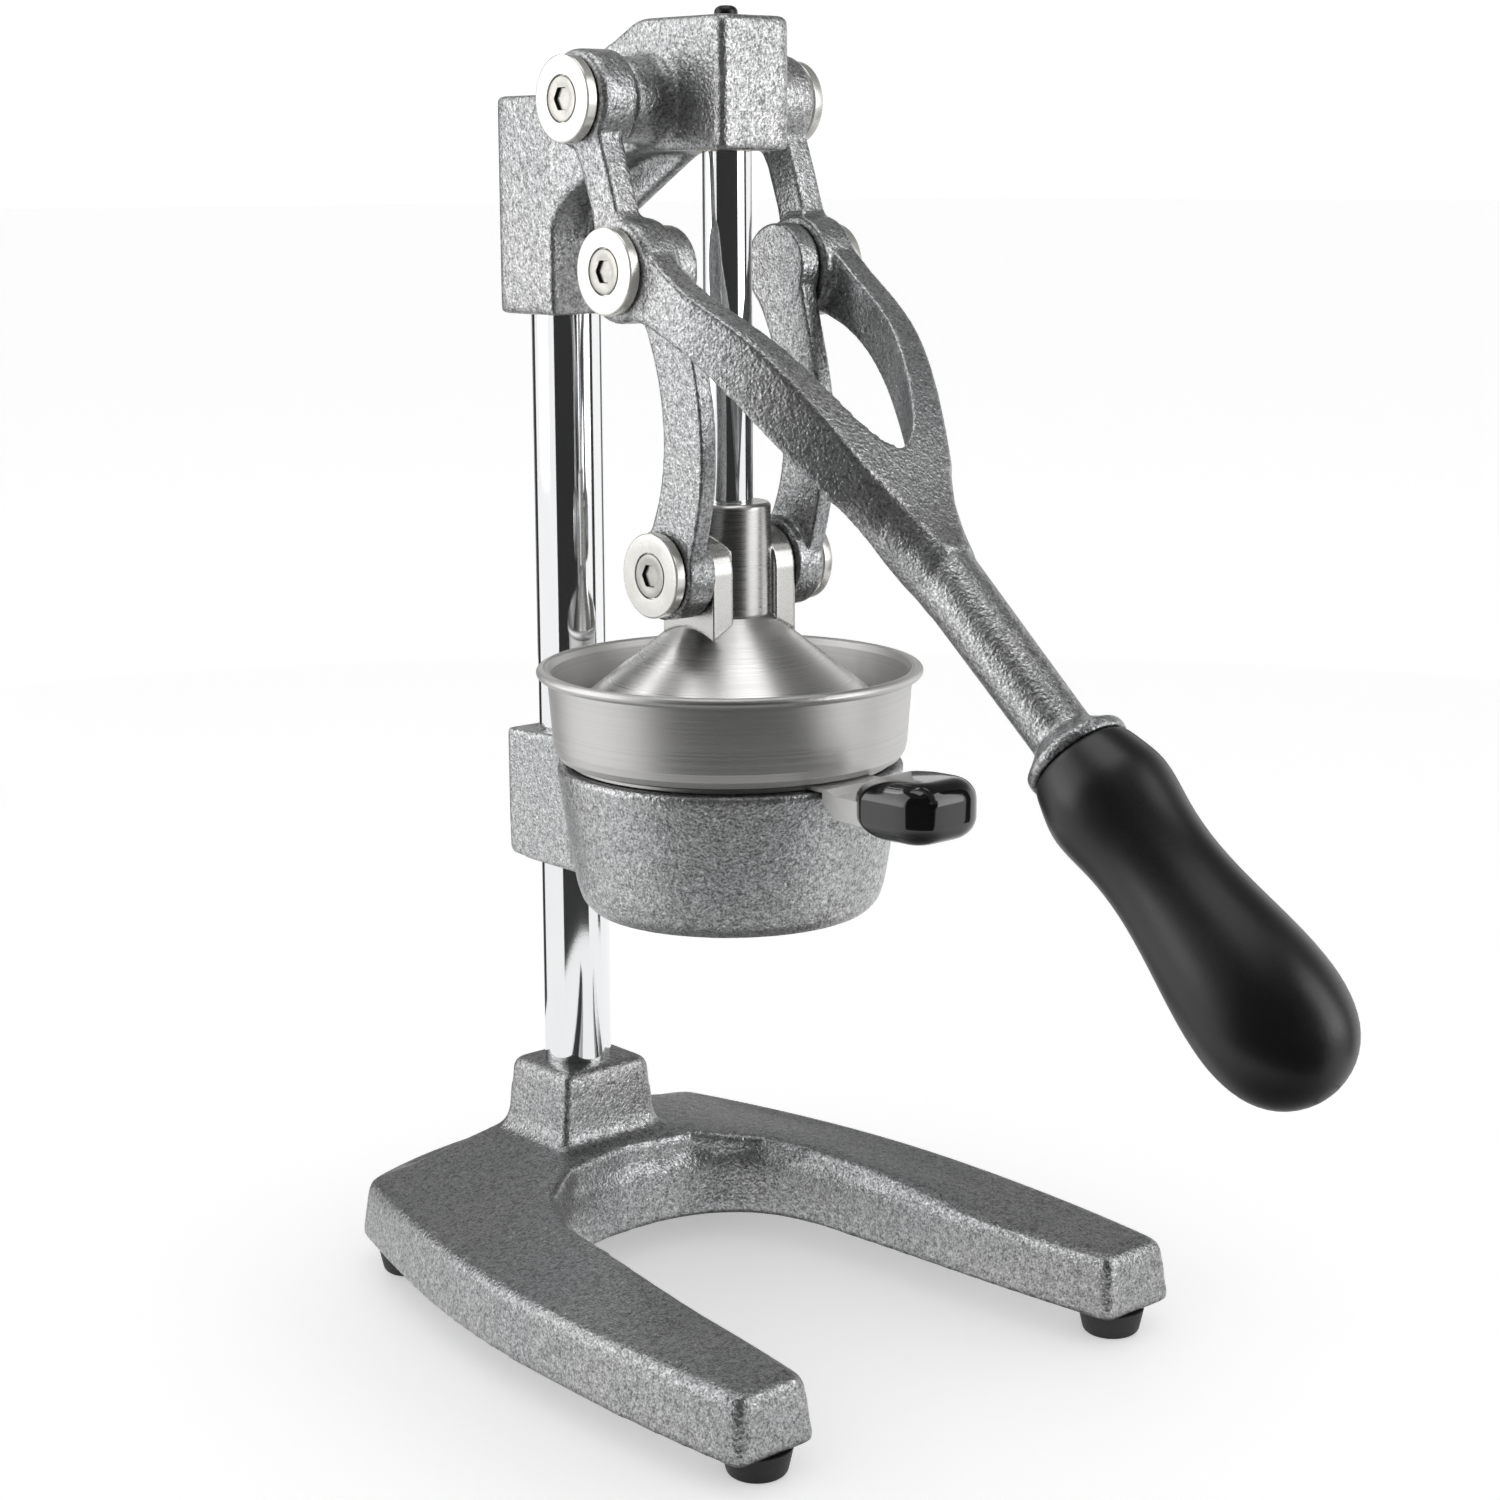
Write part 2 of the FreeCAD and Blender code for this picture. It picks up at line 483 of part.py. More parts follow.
def funnel_handle_grip():
    outline = [(-71.0, 183.4), (-71.0, 188.8), (-76.6, 194.4), (-98.6, 195.6), (-103.6, 191.4),
               (-103.6, 182.2), (-98.6, 177.4), (-79.0, 176.2)]
    body = side_plate(outline, -14.8, 14.8)
    body = body.makeFillet(2.6, body.Edges)
    return body.cut(funnel_handle_bar())


def strainer_cup():
    """Wall of the strainer with its rolled rim."""
    t = WALL
    outer = [(53.0, CUP_SEAT), (53.6, CUP_SEAT), (55.6, CUP_SEAT + 0.8), (57.0, CUP_SEAT + 2.8),
             (57.6, CUP_SEAT + 5.5), (CUP_R, RIM_Z - 1.0), (CUP_R + 0.8, RIM_Z + 0.6)]
    inner = [(CUP_R - 0.2, RIM_Z + 1.2), (CUP_R - t, RIM_Z - 0.6), (57.6 - t, CUP_SEAT + 5.8),
             (56.0 - t, CUP_SEAT + 2.9), (53.2, CUP_SEAT + t), (53.0, CUP_SEAT + t)]
    rim = Part.makeTorus(CUP_R + RIM_TUBE, RIM_TUBE, V(0, 0, RIM_Z), V(0, 0, 1))
    return revolve(outer + inner).fuse(rim).removeSplitter()


def strainer_gutter():
    """Flat perforated ring between the cone and the wall."""
    body = revolve([(46.0, CUP_SEAT), (53.0, CUP_SEAT), (53.0, CUP_SEAT + WALL), (46.0, CUP_SEAT + WALL)])
    for k in range(48):
        a = 2 * math.pi * k / 48
        hole = cyl(1.4, 8, (49.6 * math.cos(a), 49.6 * math.sin(a), CUP_SEAT - 3), (0, 0, 1))
        body = body.cut(hole)
    return body.removeSplitter()


def strainer_cone():
    """Pressing cone in the middle of the strainer, with rings of drain holes."""
    body = revolve([(46.0, CUP_SEAT), (46.0, CUP_SEAT + WALL), (13.0, 222.0), (10.4, 225.2), (6.6, 227.0),
                    (0, 227.6), (0, 226.4), (6.1, 225.8), (9.6, 224.2), (12.0, 221.4), (44.8, CUP_SEAT)])
    for ring_r, count in ((19.0, 12), (25.0, 16), (31.0, 20), (37.0, 24), (42.5, 28)):
        for k in range(count):
            a = 2 * math.pi * (k + 0.5 * (count % 8 == 4)) / count
            c, d = math.cos(a), math.sin(a)
            z = 222.0 - (ring_r - 13.0) * 31.44 / 33.0
            foot = (c * (ring_r - 2.0), d * (ring_r - 2.0), z - 2.0)
            body = body.cut(cyl(1.3, 6.0, foot, (c, d, 1.04)))
    return body.removeSplitter()


os.makedirs("parts", exist_ok=True)
save("base_casting", base())
feet()
save("post", post())
save("post_bolt", post_bolt())
save("post_washer", post_washer())
save("head_casting", head())
save("head_bush", head_bush())
save("head_set_screw_lower", set_screw(346.0, POST_Y + 15.7))
save("head_set_screw_upper", set_screw(382.0, POST_Y + 15.7))
save("ram_rod", ram_rod())
save("rod_cap_screw", rod_cap_screw())
save("ram_collar", ram_collar())
save("press_bell", press_bell())
save("bell_screw", bell_screw())
save("lever_fork", lever_fork())
save("lever_grip", lever_grip())
both_sides("link", link())
pivot("a", PIV_A, 13.0, BOSS_OUT + 0.4)
pivot("b", PIV_B, BOSS_IN + 0.2, BOSS_OUT)
pivot("c", PIV_C, 9.5, LINK_OUT + 0.3)
save("bowl_holder", bowl_holder())
save("holder_set_screw", set_screw(163.0, POST_Y + 15.4))
save("funnel", funnel())
save("funnel_floor", funnel_floor())
save("funnel_spout", funnel_spout())
save("funnel_handle_bar", funnel_handle_bar())
save("funnel_handle_grip", funnel_handle_grip())
save("strainer_cup", strainer_cup())
save("strainer_gutter", strainer_gutter())
save("strainer_cone", strainer_cone())
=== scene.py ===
import bmesh
import bpy
import json
import math
from mathutils import Matrix, Vector


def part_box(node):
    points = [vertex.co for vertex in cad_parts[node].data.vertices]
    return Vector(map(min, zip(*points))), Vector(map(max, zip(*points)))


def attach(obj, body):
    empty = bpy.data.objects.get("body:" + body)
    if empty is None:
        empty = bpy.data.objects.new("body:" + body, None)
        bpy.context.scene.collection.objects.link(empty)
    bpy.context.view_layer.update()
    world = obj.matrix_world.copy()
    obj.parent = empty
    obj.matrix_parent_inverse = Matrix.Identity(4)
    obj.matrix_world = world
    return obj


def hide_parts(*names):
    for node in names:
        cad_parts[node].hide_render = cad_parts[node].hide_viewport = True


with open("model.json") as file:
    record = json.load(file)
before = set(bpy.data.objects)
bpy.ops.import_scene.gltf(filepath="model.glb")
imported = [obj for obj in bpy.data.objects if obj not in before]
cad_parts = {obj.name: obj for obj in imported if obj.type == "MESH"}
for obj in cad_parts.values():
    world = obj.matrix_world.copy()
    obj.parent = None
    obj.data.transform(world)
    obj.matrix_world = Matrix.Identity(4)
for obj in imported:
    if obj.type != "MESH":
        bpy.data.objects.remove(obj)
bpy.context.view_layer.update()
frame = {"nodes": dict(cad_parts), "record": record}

scene = bpy.context.scene
MM = 0.001
SIDES = ("left", "right")
nodes = frame["nodes"]
record = frame["record"]
BODY_OF = {node: body for body, members in record["behaviour"]["bodies"].items() for node in members}
SLOT_OF = {part["node"]: part["material_slot"] for part in record["subparts"]}


def middle(node):
    lo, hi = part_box(node)
    return (lo + hi) / 2


RAM = middle("ram_rod")
POST = middle("post")
PIVOT = {tag: middle("pin_" + tag + "_right") for tag in "abc"}


# ------------------------------------------------------------------ materials
class Graph:
    """Small helper for building the node tree of a material or a world."""

    def __init__(self, owner, shader="Principled BSDF", space="Object"):
        owner.use_nodes = True
        self.owner = owner
        self.tree = owner.node_tree
        self.shader = self.tree.nodes[shader]
        self.coord = self.add("ShaderNodeTexCoord").outputs[space]

    def add(self, kind, inputs=None, **props):
        node = self.tree.nodes.new(kind)
        for key, value in props.items():
            setattr(node, key, value)
        for key, value in (inputs or {}).items():
            self.put(node.inputs[key], value)
        return node

    def put(self, socket, value):
        if isinstance(value, bpy.types.NodeSocket):
            self.tree.links.new(value, socket)
        else:
            socket.default_value = value

    def set(self, **values):
        for key, value in values.items():
            self.put(self.shader.inputs[key.replace("_", " ")], value)

    def noise(self, scale, detail=3.0, rough=0.55, vector=None, stretch=None):
        place = vector or self.coord
        if stretch:
            place = self.add("ShaderNodeMapping", {"Vector": place, "Scale": stretch}).outputs[0]
        return self.add("ShaderNodeTexNoise", {"Vector": place, "Scale": scale, "Detail": detail,
                                               "Roughness": rough}).outputs["Fac"]

    def ramp(self, fac, stops):
        node = self.add("ShaderNodeValToRGB", {"Fac": fac})
        elements = node.color_ramp.elements
        while len(elements) < len(stops):
            elements.new(0.5)
        for element, (position, colour) in zip(elements, stops):
            element.position = position
            element.color = (*colour, 1)
        return node.outputs[0]

    def grey(self, fac, stops):
        return self.ramp(fac, [(position, (level, level, level)) for position, level in stops])

    def math(self, operation, *values):
        node = self.add("ShaderNodeMath", operation=operation)
        for socket, value in zip(node.inputs, values):
            self.put(socket, value)
        return node.outputs[0]

    def blend(self, a, b, share):
        """Mix of two values; share is the part that a takes."""
        return self.math("ADD", self.math("MULTIPLY", a, share), self.math("MULTIPLY", b, 1 - share))

    def mix(self, fac, a, b, blend="MIX"):
        node = self.add("ShaderNodeMix", data_type="RGBA", blend_type=blend)
        self.put(node.inputs[0], fac)
        self.put(node.inputs[6], a)
        self.put(node.inputs[7], b)
        return node.outputs[2]

    def bump(self, height, distance, strength=1.0):
        return self.add("ShaderNodeBump", {"Height": height, "Distance": distance,
                                           "Strength": strength}).outputs[0]

    def radius(self, centre, axis):
        """Distance from an axis, for turned and spun finishes."""
        across = [0 if letter == axis else 1 for letter in "XYZ"]
        offset = self.add("ShaderNodeVectorMath", {0: self.coord, 1: tuple(centre)}, operation="SUBTRACT")
        flat = self.add("ShaderNodeVectorMath", {0: offset.outputs[0], 1: tuple(across)},
                        operation="MULTIPLY")
        return self.add("ShaderNodeVectorMath", {0: flat.outputs[0]}, operation="LENGTH").outputs["Value"]

    def combine(self, x, y, z):
        return self.add("ShaderNodeCombineXYZ", {0: x, 1: y, 2: z}).outputs[0]


def new_material(name):
    return Graph(bpy.data.materials.new(name))


def hammertone(name, level=1.0):
    """Silver-grey hammered paint: fine metallic mottle, small dimples, edges lightened as wear and as a
    painted edge highlight, painted shade in corners; level above 1 gives a lighter copy as painted light,
    below 1 a darker copy as painted shade.
    """
    dimple_depth, painted_shade_reach = 0.28 * MM, 22 * MM
    g = new_material(name)
    warp = g.add("ShaderNodeTexNoise", {"Vector": g.coord, "Scale": 300.0, "Detail": 2.0}).outputs["Color"]
    bent = g.add("ShaderNodeMix", {0: 0.0022, 4: g.coord, 5: warp}, data_type="VECTOR").outputs[1]
    cells = g.add("ShaderNodeTexVoronoi", {"Vector": bent, "Scale": 900.0, "Randomness": 1.0},
                  feature="SMOOTH_F1").outputs["Distance"]
    fine = g.noise(1350.0, 3.0, 0.6)
    coarse = g.noise(500.0, 3.0, 0.6)
    broad = g.noise(24.0, 2.0, 0.5)
    flake = g.blend(fine, coarse, 0.62)
    mottle = g.grey(flake, [(0.38, 0.18 * level), (0.47, 0.35 * level),
                            (0.54, 0.49 * level), (0.65, 0.72 * level)])
    tint = g.ramp(broad, [(0.3, (0.90, 0.915, 0.93)), (0.7, (1.0, 1.0, 1.0))])
    colour = g.mix(1.0, mottle, tint, "MULTIPLY")
    edge = g.add("ShaderNodeNewGeometry").outputs["Pointiness"]
    # Convex edges are lightened: partly real worn paint, partly a painted edge highlight.
    edge_wear_and_highlight = g.math("MULTIPLY", g.grey(edge, [(0.53, 0.0), (0.60, 0.22)]),
                  g.grey(coarse, [(0.4, 0.3), (0.6, 1.0)]))
    colour = g.mix(edge_wear_and_highlight, colour, (0.66, 0.67, 0.68, 1))
    # Painted shade: ambient occlusion darkens the paint colour in corners, creases and between parts.
    shade = g.add("ShaderNodeAmbientOcclusion", {"Distance": painted_shade_reach}, samples=6).outputs["AO"]
    colour = g.mix(1.0, colour, g.grey(shade, [(0.12, 0.30), (0.75, 1.0)]), "MULTIPLY")
    height = g.math("ADD", g.math("MULTIPLY", cells, 0.7), g.math("MULTIPLY", flake, 0.9))
    g.set(Base_Color=colour, Metallic=0.92, Roughness=g.grey(flake, [(0.38, 0.38), (0.62, 0.27)]),
          Normal=g.bump(height, dimple_depth))
    return g.owner


def chrome(name):
    """Mirror chrome with faint upright smears."""
    g = new_material(name)
    smear = g.noise(35.0, 4.0, 0.6, stretch=(1, 1, 0.25))
    specks = g.noise(1500.0, 2.0, 0.5)
    g.set(Base_Color=g.ramp(smear, [(0.3, (0.80, 0.81, 0.82)), (0.7, (0.90, 0.905, 0.91))]),
          Metallic=1.0, Roughness=g.grey(smear, [(0.3, 0.035), (0.75, 0.085)]),
          Normal=g.bump(specks, 0.01 * MM, 0.25))
    return g.owner


def spun(name, tint, rough, lines, streak):
    """Sheet or bar finished on a lathe: fine rings round the ram axis."""
    g = new_material(name)
    r = g.radius((RAM.x, RAM.y, 0), "Z")
    height = g.add("ShaderNodeSeparateXYZ", {0: g.coord}).outputs["Z"]
    ring = g.noise(lines, 4.0, 0.7, vector=g.combine(r, height, 0.0))
    wide = g.noise(lines / 6, 2.0, 0.5, vector=g.combine(r, height, 3.0))
    cloud = g.noise(30.0, 3.0, 0.5)
    light = tuple(min(1.0, c * 1.04) for c in tint)
    dark = tuple(c * 0.96 for c in tint)
    colour = g.ramp(g.blend(ring, wide, 0.6), [(0.36, dark), (0.64, light)])
    colour = g.mix(g.math("MULTIPLY", cloud, 0.12), colour, (*dark, 1))
    g.set(Base_Color=colour, Metallic=1.0,
          Roughness=g.grey(ring, [(0.3, rough * 1.35), (0.7, rough * 0.8)]),
          Normal=g.bump(ring, 0.04 * MM * streak, 0.5))
    return g.owner


def turned_disc(name, centre):
    """Satin nickel disc, faced on a lathe about the X axis."""
    g = new_material(name)
    r = g.radius(centre, "X")
    ring = g.noise(1800.0, 3.0, 0.6, vector=g.combine(r, 0.0, 0.0))
    cloud = g.noise(120.0, 3.0, 0.6)
    colour = g.ramp(g.blend(ring, cloud, 0.5), [(0.35, (0.64, 0.632, 0.60)), (0.65, (0.73, 0.722, 0.69))])
    g.set(Base_Color=colour, Metallic=0.72, Roughness=g.grey(cloud, [(0.3, 0.20), (0.7, 0.30)]),
          Normal=g.bump(ring, 0.01 * MM, 0.4))
    return g.owner


def steel(name, tint=(0.50, 0.49, 0.46), rough=0.32):
    """Plain machined metal."""
    g = new_material(name)
    grain = g.noise(1400.0, 3.0, 0.6)
    cloud = g.noise(150.0, 3.0, 0.6)
    g.set(Base_Color=g.ramp(cloud, [(0.35, tuple(c * 0.8 for c in tint)), (0.65, tint)]),
          Metallic=1.0, Roughness=g.grey(grain, [(0.3, rough * 0.8), (0.7, rough * 1.2)]),
          Normal=g.bump(grain, 0.03 * MM, 0.4))
    return g.owner


def moulded(name, colour, rough, grain, depth, spread=0.35, coat=0.0, level=0.5):
    """Moulded plastic, rubber or vinyl with a fine skin."""
    g = new_material(name)
    fine = g.noise(grain, 4.0, 0.6)
    cloud = g.noise(40.0, 3.0, 0.55)
    dark = tuple(c * (1 - spread) for c in colour)
    light = tuple(c * (1 + spread) for c in colour)
    g.set(Base_Color=g.ramp(cloud, [(0.35, dark), (0.65, light)]),
          Roughness=g.grey(g.blend(fine, cloud, 0.5), [(0.35, rough * 0.86), (0.65, rough * 1.14)]),
          Normal=g.bump(fine, depth, 0.6), Coat_Weight=coat, Coat_Roughness=0.04,
          Specular_IOR_Level=level)
    return g.owner


PAINT = hammertone("hammertone_paint")
# Same paint at two levels: the base copy is darker as painted shade, the ring copy lighter as painted
# light.
PAINT_BASE_SHADED = hammertone("hammertone_paint_base_shaded", 0.90)
PAINT_RING_LIT = hammertone("hammertone_paint_ring_lit", 1.16)
CHROME = chrome("mirror_chrome")
SPUN_BOWL = spun("spun_stainless_cup", (0.63, 0.625, 0.615), 0.42, 2600.0, 0.03)
SPUN_BELL = spun("spun_stainless_bell", (0.68, 0.672, 0.66), 0.28, 2600.0, 0.04)
TURNED = spun("turned_collar", (0.55, 0.545, 0.53), 0.27, 2400.0, 0.04)
STEEL = steel("plain_steel")
BRASS = steel("guide_bronze", (0.62, 0.47, 0.24), 0.3)
BLACKED = steel("blackened_steel", (0.05, 0.05, 0.052), 0.35)
GRIP = moulded("matte_black_grip", (0.0038, 0.0038, 0.0044), 0.36, 1100.0, 0.04 * MM, 0.3, level=0.55)
VINYL = moulded("gloss_black_vinyl", (0.0045, 0.0045, 0.005), 0.10, 160.0, 0.03 * MM, 0.2, coat=0.6)
RUBBER = moulded("black_rubber", (0.014, 0.014, 0.015), 0.62, 800.0, 0.10 * MM)
DISCS = {tag: turned_disc("nickel_disc_" + tag, PIVOT[tag]) for tag in "abc"}


# ------------------------------------------------------------------ making pieces
def finish_piece(obj, like, mat):
    """Puts a new piece on the body of the CAD node it is made after, in the given material."""
    scene.collection.objects.link(obj)
    obj.data.materials.clear()
    obj.data.materials.append(mat)
    obj.data.shade_smooth()
    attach(obj, BODY_OF[like])
    return obj


def from_bmesh(name, bm, like, mat, sharp):
    """Piece made of a built mesh, with its edges over sharp degrees left crisp."""
    bmesh.ops.recalc_face_normals(bm, faces=bm.faces)
    mesh = bpy.data.meshes.new(name)
    bm.to_mesh(mesh)
    bm.free()
    obj = finish_piece(bpy.data.objects.new(name, mesh), like, mat)
    mesh.set_sharp_from_angle(angle=math.radians(sharp))
    return obj


def join_rings(bm, one, two):
    """Skin between two closed rings of vertices; a ring of one vertex is a point on the axis."""
    count = max(len(one), len(two))
    for k in range(count):
        j = (k + 1) % count
        if len(one) == 1:
            bm.faces.new((one[0], two[k], two[j]))
        elif len(two) == 1:
            bm.faces.new((one[k], two[0], one[j]))
        else:
            bm.faces.new((one[k], two[k], two[j], one[j]))


def rounded(points, radii, steps=5):
    """Rounds the corners of a closed (a, b) outline by one radius per corner; 0 leaves it sharp."""
    out = []
    for i, (point, r) in enumerate(zip(points, radii)):
        if r <= 0:
            out.append(point)
            continue
        corner = Vector(point)
        back = Vector(points[i - 1]) - corner
        onward = Vector(points[(i + 1) % len(points)]) - corner
        cut = min(r / math.tan(back.angle(onward) / 2), back.length * 0.48, onward.length * 0.48)
        start, end = corner + back.normalized() * cut, corner + onward.normalized() * cut
        for k in range(steps + 1):
            t = k / steps
            out.append(tuple(start * (1 - t) ** 2 + corner * 2 * t * (1 - t) + end * t ** 2))
    return out


def upright(centre):
    """Lathe axis along Z through centre; heights are from the floor."""
    return lambda x, y, h: Vector((centre.x + x * MM, centre.y + y * MM, h * MM))


def sideways(pivot, sign):
    """Lathe axis along X through pivot; heights are from the middle plane, towards one side."""
    return lambda x, y, h: Vector((sign * h * MM, pivot.y + x * MM, pivot.z + y * MM))


def ring_of(bm, where, segments, height, reach):
    """Closed ring of vertices; reach gives the radius in mm at an angle."""
    ring = []
    for k in range(segments):
        a = 2 * math.pi * k / segments
        ring.append(bm.verts.new(where(reach(a) * math.cos(a), reach(a) * math.sin(a), height)))
    return ring


def lathe(name, like, mat, profile, where, segments=144, closed=True, sharp=35):
    """Full turn of a (radius, height) outline in mm, in place of a CAD node."""
    bm = bmesh.new()
    rings = []
    for r, h in profile:
        if r == 0:
            rings.append([bm.verts.new(where(0, 0, h))])
        else:
            rings.append(ring_of(bm, where, segments, h, lambda a: r))
    for one, two in zip(rings, rings[1:] + rings[:1] * closed):
        join_rings(bm, one, two)
    obj = from_bmesh(name, bm, like, mat, sharp)
    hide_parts(like)
    return obj


def casting(name, like, mat, voxel, passes, plug=None):
    """Copy of a CAD node with softened, cast-looking edges; plug fills a bore that a bar passes through."""
    mesh = nodes[like].data.copy()
    bm = bmesh.new()
    bm.from_mesh(mesh)
    bmesh.ops.remove_doubles(bm, verts=bm.verts, dist=0.002 * MM)
    if plug:
        radius, low, high = plug
        place = Matrix.Translation((POST.x, POST.y, (low + high) / 2 * MM))
        bmesh.ops.create_cone(bm, cap_ends=True, segments=48, radius1=radius * MM, radius2=radius * MM,
                              depth=(high - low) * MM, matrix=place)
    bm.to_mesh(mesh)
    bm.free()
    raw = bpy.data.objects.new(name + "_raw", mesh)
    scene.collection.objects.link(raw)
    remesh = raw.modifiers.new("remesh", "REMESH")
    remesh.mode, remesh.voxel_size, remesh.adaptivity = "VOXEL", voxel * MM, 0.0
    soft = raw.modifiers.new("soft", "SMOOTH")
    soft.factor, soft.iterations = 0.5, passes
    made = bpy.data.meshes.new_from_object(raw.evaluated_get(bpy.context.evaluated_depsgraph_get()))
    bpy.data.objects.remove(raw)
    made.name = name
    obj = finish_piece(bpy.data.objects.new(name, made), like, mat)
    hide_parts(like)


def carried(node, mat):
    """CAD node that shows as it is, in a better material."""
    mesh = nodes[node].data
    mesh.materials.clear()
    mesh.materials.append(mat)


# ------------------------------------------------------------------ cast pieces
SOCKET_BORE = (13.0, 26.0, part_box("base_casting")[1].z / MM)
HOLDER_BORE = (12.4, 162.0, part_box("bowl_holder")[1].z / MM)

casting("base_cast", "base_casting", PAINT_BASE_SHADED, 0.85, 70, plug=SOCKET_BORE)
casting("head_cast", "head_casting", PAINT, 0.65, 50)
casting("lever_cast", "lever_fork", PAINT, 0.65, 22)
casting("holder_cast", "bowl_holder", PAINT_RING_LIT, 0.75, 14, plug=HOLDER_BORE)
for side in SIDES:
    casting("link_cast_" + side, "link_" + side, PAINT, 0.55, 18)
casting("collar_turned", "ram_collar", TURNED, 0.40, 3)


# ------------------------------------------------------------------ bars
def bar(name, like, centre, edge):
    """Chromed bar with broken edges at both ends."""
    lo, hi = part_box(like)
    r, foot, top = (hi.x - lo.x) / 2 / MM, lo.z / MM, hi.z / MM
    outline = rounded([(0, foot), (r, foot), (r, top), (0, top)], [0, edge, edge, 0])
    lathe(name, like, CHROME, outline, upright(centre), closed=False)


def rod_cap():
    """Low domed head of the screw on top of the ram rod."""
    r, deep = 3.7, 3.2
    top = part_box("rod_cap_screw")[1].z / MM
    outline = [(0, top - deep), (r, top - deep), (r, top - 2.0), (r - 0.2, top - 1.3), (r - 0.8, top - 0.6),
               (r - 1.8, top - 0.15), (0, top)]
    lathe("rod_cap", "rod_cap_screw", BLACKED, outline, upright(RAM), 64, False)


bar("post_bar", "post", POST, 0.8)
bar("ram_bar", "ram_rod", RAM, 0.6)
rod_cap()

# ------------------------------------------------------------------ pivots
SCREW_R = 7.1
SEAT_R = SCREW_R + 0.32                  # countersink of the disc, with a dark gap round the screw
SCREW_FACE = ((0.30, 1.2), (0.12, 0.34), (0.32, 0.12), (0.80, 0.05), (2.20, 0.06), (2.80, 0.14))
HEXAGON = ((4.0, 0.16), (3.8, 0.4), (3.7, 2.1))
SOCKET_SHADE_R = 3.95                           # socket faces inside this radius take the blackened material as painted shade in the recess


def pivot_disc(tag, side, where):
    """Bright disc with a rounded rim; returns how far out its face stands."""
    lo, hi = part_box("disc_" + tag + "_right")
    inner, outer, rad = lo.x / MM, hi.x / MM, (hi.z - lo.z) / 2 / MM
    bore, chamfer = 5.0, 0.9
    outline = [(bore, inner), (rad - chamfer, inner), (rad, inner + chamfer), (rad, outer), (SEAT_R, outer),
               (SEAT_R, outer - 1.3), (bore, outer - 1.6)]
    lathe("pivot_disc_" + tag + "_" + side, "disc_" + tag + "_" + side, DISCS[tag],
          rounded(outline, [0, 0.1, 0.3, 0.75, 0.15, 0, 0]), where, 128)
    return outer


def pivot_screw(tag, side, where, outer):
    """Countersunk screw: rounded rim, shallow cone and a hexagon socket whose faces are darkened as painted
    shade.
    """
    like, segments = "screw_" + tag + "_" + side, 72
    sixth = math.pi / 3
    bm = bmesh.new()
    rings = [ring_of(bm, where, segments, outer - depth, lambda a: SCREW_R - inset)
             for inset, depth in SCREW_FACE]
    rings += [ring_of(bm, where, segments, outer - depth,
                      lambda a: corner * math.cos(sixth / 2) / math.cos(a % sixth - sixth / 2))
              for corner, depth in HEXAGON]
    for one, two in zip(rings, rings[1:]):
        join_rings(bm, one, two)
    bm.faces.new(rings[-1])
    bm.faces.new(rings[0])
    obj = from_bmesh("pivot_screw_" + tag + "_" + side, bm, like, STEEL, 25)
    # Painted shade: the socket walls and bottom get the blackened material.
    obj.data.materials.append(BLACKED)
    points = [vertex.co - PIVOT[tag] for vertex in obj.data.vertices]
    for face in obj.data.polygons:
        reach = max(math.hypot(points[v].y, points[v].z) for v in face.vertices)
        face.material_index = int(reach < SOCKET_SHADE_R * MM)
    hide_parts(like)


for tag in "abc":
    for side in SIDES:
        axis = sideways(PIVOT[tag], 1 if side == "right" else -1)
        pivot_screw(tag, side, axis, pivot_disc(tag, side, axis))


# ------------------------------------------------------------------ bell
def press_bell():
    """Stainless cone over the fruit, with a short turned-down lip."""
    top, slope, hub_r, bell_r, sheet, lip = 235.4, 0.79, 13.45, 52.0, 2.0, 4.4
    low = top - slope * (bell_r - hub_r)
    inside, outside = bell_r - 1.2, bell_r + 0.4
    outline = [(0, top - sheet), (hub_r - 0.6, top - sheet), (inside, low - 1.64), (inside, low - lip),
               (outside, low - lip), (outside, low - 0.3), (hub_r, top), (0, top)]
    lathe("press_bell_spun", "press_bell", SPUN_BELL, rounded(outline, [0, 2, 1.5, 0.3, 0.7, 2.5, 0.3, 0]),
          upright(RAM), 192, False)


press_bell()

# ------------------------------------------------------------------ grips and feet
GRIP_TOP = Vector((0, RAM.y - 0.154, 0.2105))
GRIP_DIR = Vector((0, -70.0, -59.5)).normalized()
GRIP_TURN = GRIP_DIR.to_track_quat("Z", "X").to_matrix()


def along_grip(x, y, h):
    return GRIP_TOP + GRIP_TURN @ Vector((x * MM, y * MM, h * MM))


def lever_grip():
    """Moulded grip: rounded shoulder, narrow waist and a bulb at its end."""
    butt = [(0.0, 0.0), (14.6, 0.0), (15.4, 0.25), (16.0, 1.0), (16.6, 2.6)]
    shoulder = [(18.1, 8.0), (19.0, 12.0), (19.3, 15.5), (18.9, 20.5), (18.0, 26.0)]
    waist = [(17.2, 32.0), (16.9, 40.0), (17.3, 48.0), (18.2, 56.0), (19.3, 63.5), (20.5, 71.5)]
    bulb = [(21.5, 79.0), (22.05, 86.5), (22.0, 93.0), (21.2, 99.0), (19.6, 104.5), (17.2, 109.0),
            (13.9, 112.8), (9.8, 115.6), (5.0, 117.4), (0.0, 118.0)]
    outline = butt + shoulder + waist + bulb
    obj = lathe("grip_moulded", "lever_grip", GRIP, outline, along_grip, 128, False, 50)
    finer = obj.modifiers.new("smooth", "SUBSURF")
    finer.levels = finer.render_levels = 1


def rubber_foot(node):
    """Tapered foot with a recess for its screw."""
    recess_r, recess, tread_r, top_r, top = 4.6, 3.4, 9.0, 10.9, 8.6
    outline = [(0, recess), (recess_r, recess), (recess_r, 0), (tread_r, 0), (top_r, top), (0, top)]
    lathe(node + "_rubber", node, RUBBER, rounded(outline, [0, 0.4, 0.5, 2.6, 0.5, 0]),
          upright(middle(node)), 96, False)


